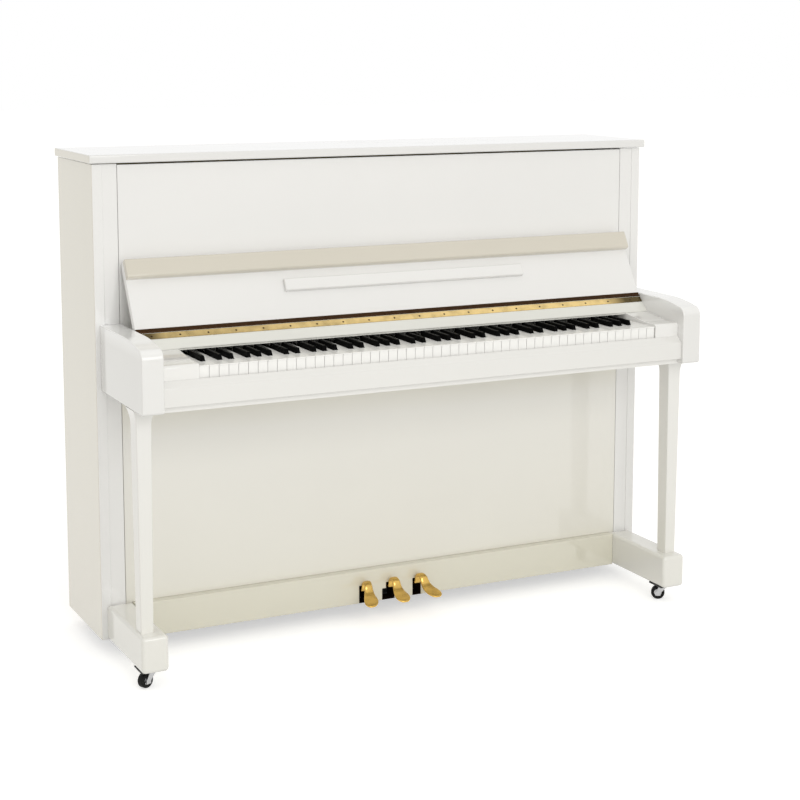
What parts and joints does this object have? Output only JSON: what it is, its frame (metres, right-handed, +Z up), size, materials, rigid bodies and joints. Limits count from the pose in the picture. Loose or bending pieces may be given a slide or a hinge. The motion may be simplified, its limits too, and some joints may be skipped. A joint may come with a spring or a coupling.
{
  "type": "upright piano",
  "caption": "White upright piano with a hinged lid, a fallboard over sprung keys that throw hammers, brass pedals and casters.",
  "frame": {"origin": "on the floor, under the middle of the whole piano", "axes": "+X along the keyboard from bass to treble, +Y from the player to the back, +Z up"},
  "size_m": [1.53, 0.612, 1.21],
  "materials": {
    "case_lacquer": "white high-gloss lacquer over wood",
    "key_white": "polished, warm white",
    "key_black": "satin black",
    "brass": "polished",
    "frame_wood": "plain planed wood",
    "spruce": "satin varnish",
    "plate_iron": "bronze paint",
    "steel": "bright drawn",
    "felt": "pressed wool felt",
    "caster_black": "black satin",
    "tyre": "hard black tread"
  },
  "bodies": {
    "case": {"left_side": "case_lacquer", "right_side": "case_lacquer", "upper_panel": "case_lacquer", "lower_panel": "case_lacquer", "plinth": "case_lacquer", "arms": "case_lacquer", "toe_blocks": "case_lacquer", "legs": "case_lacquer", "key_slip": "case_lacquer", "key_blocks": "case_lacquer", "keybed": "case_lacquer", "fallboard_rail": "case_lacquer", "fallboard_hinge_fixed": "brass", "lid_hinge_fixed": "brass", "back_frame": "frame_wood", "bottom_board": "frame_wood", "action_frame": "frame_wood", "soundboard": "spruce", "iron_plate": "plate_iron", "strings": "steel", "pedal_brackets": "steel", "caster_plates": "caster_black"},
    "lid": {"top_lid": "case_lacquer", "lid_hinge_moving": "brass"},
    "fallboard": {"fallboard": "case_lacquer", "fallboard_hinge_wing": "brass"},
    "music_ledge": {"music_ledge": "case_lacquer"},
    "key_c": {"key_c": "key_white"},
    "key_c_sharp": {"key_c_sharp": "key_black"},
    "key_d": {"key_d": "key_white"},
    "key_d_sharp": {"key_d_sharp": "key_black"},
    "key_e": {"key_e": "key_white"},
    "key_f": {"key_f": "key_white"},
    "key_f_sharp": {"key_f_sharp": "key_black"},
    "key_g": {"key_g": "key_white"},
    "key_g_sharp": {"key_g_sharp": "key_black"},
    "key_a": {"key_a": "key_white"},
    "key_a_sharp": {"key_a_sharp": "key_black"},
    "key_b": {"key_b": "key_white"},
    "hammer_c": {"hammer_c": "felt"},
    "hammer_c_sharp": {"hammer_c_sharp": "felt"},
    "hammer_d": {"hammer_d": "felt"},
    "hammer_d_sharp": {"hammer_d_sharp": "felt"},
    "hammer_e": {"hammer_e": "felt"},
    "hammer_f": {"hammer_f": "felt"},
    "hammer_f_sharp": {"hammer_f_sharp": "felt"},
    "hammer_g": {"hammer_g": "felt"},
    "hammer_g_sharp": {"hammer_g_sharp": "felt"},
    "hammer_a": {"hammer_a": "felt"},
    "hammer_a_sharp": {"hammer_a_sharp": "felt"},
    "hammer_b": {"hammer_b": "felt"},
    "soft_pedal": {"soft_pedal": "brass"},
    "practice_pedal": {"practice_pedal": "brass"},
    "sustain_pedal": {"sustain_pedal": "brass"},
    "left_front_fork": {"left_front_fork": "steel"},
    "right_front_fork": {"right_front_fork": "steel"},
    "left_front_wheel": {"left_front_wheel": "tyre"},
    "right_front_wheel": {"right_front_wheel": "tyre"},
    "left_rear_wheel": {"left_rear_wheel": "tyre"},
    "right_rear_wheel": {"right_rear_wheel": "tyre"}
  },
  "joints": [
    {"name": "lid_swing", "type": "hinge", "parent": "case", "child": "lid", "pos_m": [0, 0.3022, 1.18815], "axis": [-1, 0, 0], "range_deg": [0, 100]},
    {"name": "fallboard_swing", "type": "hinge", "parent": "case", "child": "fallboard", "pos_m": [0, -0.1, 0.803], "axis": [-1, 0, 0], "range_deg": [-130.17, 0]},
    {"name": "ledge_fold", "type": "hinge", "parent": "fallboard", "child": "music_ledge", "pos_m": [0, -0.05914, 0.86945], "axis": [1, 0, 0], "range_deg": [0, 90]},
    {"name": "key_c_dip", "type": "hinge", "parent": "case", "child": "key_c", "pos_m": [0, -0.058, 0.728], "axis": [1, 0, 0], "range_deg": [0, 2.6], "stiffness_Nm_per_rad": 2, "springref_deg": -28.65},
    {"name": "key_c_sharp_dip", "type": "hinge", "parent": "case", "child": "key_c_sharp", "pos_m": [0, -0.058, 0.728], "axis": [1, 0, 0], "range_deg": [0, 2.6], "stiffness_Nm_per_rad": 2, "springref_deg": -28.65},
    {"name": "key_d_dip", "type": "hinge", "parent": "case", "child": "key_d", "pos_m": [0, -0.058, 0.728], "axis": [1, 0, 0], "range_deg": [0, 2.6], "stiffness_Nm_per_rad": 2, "springref_deg": -28.65},
    {"name": "key_d_sharp_dip", "type": "hinge", "parent": "case", "child": "key_d_sharp", "pos_m": [0, -0.058, 0.728], "axis": [1, 0, 0], "range_deg": [0, 2.6], "stiffness_Nm_per_rad": 2, "springref_deg": -28.65},
    {"name": "key_e_dip", "type": "hinge", "parent": "case", "child": "key_e", "pos_m": [0, -0.058, 0.728], "axis": [1, 0, 0], "range_deg": [0, 2.6], "stiffness_Nm_per_rad": 2, "springref_deg": -28.65},
    {"name": "key_f_dip", "type": "hinge", "parent": "case", "child": "key_f", "pos_m": [0, -0.058, 0.728], "axis": [1, 0, 0], "range_deg": [0, 2.6], "stiffness_Nm_per_rad": 2, "springref_deg": -28.65},
    {"name": "key_f_sharp_dip", "type": "hinge", "parent": "case", "child": "key_f_sharp", "pos_m": [0, -0.058, 0.728], "axis": [1, 0, 0], "range_deg": [0, 2.6], "stiffness_Nm_per_rad": 2, "springref_deg": -28.65},
    {"name": "key_g_dip", "type": "hinge", "parent": "case", "child": "key_g", "pos_m": [0, -0.058, 0.728], "axis": [1, 0, 0], "range_deg": [0, 2.6], "stiffness_Nm_per_rad": 2, "springref_deg": -28.65},
    {"name": "key_g_sharp_dip", "type": "hinge", "parent": "case", "child": "key_g_sharp", "pos_m": [0, -0.058, 0.728], "axis": [1, 0, 0], "range_deg": [0, 2.6], "stiffness_Nm_per_rad": 2, "springref_deg": -28.65},
    {"name": "key_a_dip", "type": "hinge", "parent": "case", "child": "key_a", "pos_m": [0, -0.058, 0.728], "axis": [1, 0, 0], "range_deg": [0, 2.6], "stiffness_Nm_per_rad": 2, "springref_deg": -28.65},
    {"name": "key_a_sharp_dip", "type": "hinge", "parent": "case", "child": "key_a_sharp", "pos_m": [0, -0.058, 0.728], "axis": [1, 0, 0], "range_deg": [0, 2.6], "stiffness_Nm_per_rad": 2, "springref_deg": -28.65},
    {"name": "key_b_dip", "type": "hinge", "parent": "case", "child": "key_b", "pos_m": [0, -0.058, 0.728], "axis": [1, 0, 0], "range_deg": [0, 2.6], "stiffness_Nm_per_rad": 2, "springref_deg": -28.65},
    {"name": "hammer_c_throw", "type": "hinge", "parent": "case", "child": "hammer_c", "pos_m": [0, 0.1165, 0.88], "axis": [-1, 0, 0], "range_deg": [0, 19.5]},
    {"name": "hammer_c_sharp_throw", "type": "hinge", "parent": "case", "child": "hammer_c_sharp", "pos_m": [0, 0.1165, 0.88], "axis": [-1, 0, 0], "range_deg": [0, 19.5]},
    {"name": "hammer_d_throw", "type": "hinge", "parent": "case", "child": "hammer_d", "pos_m": [0, 0.1165, 0.88], "axis": [-1, 0, 0], "range_deg": [0, 19.5]},
    {"name": "hammer_d_sharp_throw", "type": "hinge", "parent": "case", "child": "hammer_d_sharp", "pos_m": [0, 0.1165, 0.88], "axis": [-1, 0, 0], "range_deg": [0, 19.5]},
    {"name": "hammer_e_throw", "type": "hinge", "parent": "case", "child": "hammer_e", "pos_m": [0, 0.1165, 0.88], "axis": [-1, 0, 0], "range_deg": [0, 19.5]},
    {"name": "hammer_f_throw", "type": "hinge", "parent": "case", "child": "hammer_f", "pos_m": [0, 0.1165, 0.88], "axis": [-1, 0, 0], "range_deg": [0, 19.5]},
    {"name": "hammer_f_sharp_throw", "type": "hinge", "parent": "case", "child": "hammer_f_sharp", "pos_m": [0, 0.1165, 0.88], "axis": [-1, 0, 0], "range_deg": [0, 19.5]},
    {"name": "hammer_g_throw", "type": "hinge", "parent": "case", "child": "hammer_g", "pos_m": [0, 0.1165, 0.88], "axis": [-1, 0, 0], "range_deg": [0, 19.5]},
    {"name": "hammer_g_sharp_throw", "type": "hinge", "parent": "case", "child": "hammer_g_sharp", "pos_m": [0, 0.1165, 0.88], "axis": [-1, 0, 0], "range_deg": [0, 19.5]},
    {"name": "hammer_a_throw", "type": "hinge", "parent": "case", "child": "hammer_a", "pos_m": [0, 0.1165, 0.88], "axis": [-1, 0, 0], "range_deg": [0, 19.5]},
    {"name": "hammer_a_sharp_throw", "type": "hinge", "parent": "case", "child": "hammer_a_sharp", "pos_m": [0, 0.1165, 0.88], "axis": [-1, 0, 0], "range_deg": [0, 19.5]},
    {"name": "hammer_b_throw", "type": "hinge", "parent": "case", "child": "hammer_b", "pos_m": [0, 0.1165, 0.88], "axis": [-1, 0, 0], "range_deg": [0, 19.5]},
    {"name": "soft_pedal_press", "type": "hinge", "parent": "case", "child": "soft_pedal", "pos_m": [-0.076, 0.146, 0.082], "axis": [1, 0, 0], "range_deg": [0, 5], "stiffness_Nm_per_rad": 10, "springref_deg": -11.46},
    {"name": "practice_pedal_press", "type": "hinge", "parent": "case", "child": "practice_pedal", "pos_m": [0, 0.146, 0.082], "axis": [1, 0, 0], "range_deg": [0, 5], "stiffness_Nm_per_rad": 10, "springref_deg": -11.46},
    {"name": "sustain_pedal_press", "type": "hinge", "parent": "case", "child": "sustain_pedal", "pos_m": [0.076, 0.146, 0.082], "axis": [1, 0, 0], "range_deg": [0, 5], "stiffness_Nm_per_rad": 10, "springref_deg": -11.46},
    {"name": "left_front_swivel", "type": "hinge", "parent": "case", "child": "left_front_fork", "pos_m": [-0.7105, -0.218, 0.04], "axis": [0, 0, 1], "continuous": true},
    {"name": "left_front_roll", "type": "hinge", "parent": "left_front_fork", "child": "left_front_wheel", "pos_m": [-0.725, -0.22476, 0.018], "axis": [-0.4226, 0.9063, 0], "continuous": true},
    {"name": "left_rear_roll", "type": "hinge", "parent": "case", "child": "left_rear_wheel", "pos_m": [-0.665, 0.269, 0.018], "axis": [0, -1, 0], "continuous": true},
    {"name": "right_front_swivel", "type": "hinge", "parent": "case", "child": "right_front_fork", "pos_m": [0.7105, -0.218, 0.04], "axis": [0, 0, 1], "continuous": true},
    {"name": "right_front_roll", "type": "hinge", "parent": "right_front_fork", "child": "right_front_wheel", "pos_m": [0.69724, -0.20905, 0.018], "axis": [0.5592, 0.829, 0], "continuous": true},
    {"name": "right_rear_roll", "type": "hinge", "parent": "case", "child": "right_rear_wheel", "pos_m": [0.665, 0.269, 0.018], "axis": [0, -1, 0], "continuous": true}
  ],
  "couplings": [
    {"joint": "hammer_c_throw", "follows": "key_c_dip", "ratio": 7.4},
    {"joint": "hammer_c_sharp_throw", "follows": "key_c_sharp_dip", "ratio": 7.4},
    {"joint": "hammer_d_throw", "follows": "key_d_dip", "ratio": 7.4},
    {"joint": "hammer_d_sharp_throw", "follows": "key_d_sharp_dip", "ratio": 7.4},
    {"joint": "hammer_e_throw", "follows": "key_e_dip", "ratio": 7.4},
    {"joint": "hammer_f_throw", "follows": "key_f_dip", "ratio": 7.4},
    {"joint": "hammer_f_sharp_throw", "follows": "key_f_sharp_dip", "ratio": 7.4},
    {"joint": "hammer_g_throw", "follows": "key_g_dip", "ratio": 7.4},
    {"joint": "hammer_g_sharp_throw", "follows": "key_g_sharp_dip", "ratio": 7.4},
    {"joint": "hammer_a_throw", "follows": "key_a_dip", "ratio": 7.4},
    {"joint": "hammer_a_sharp_throw", "follows": "key_a_sharp_dip", "ratio": 7.4},
    {"joint": "hammer_b_throw", "follows": "key_b_dip", "ratio": 7.4}
  ]
}
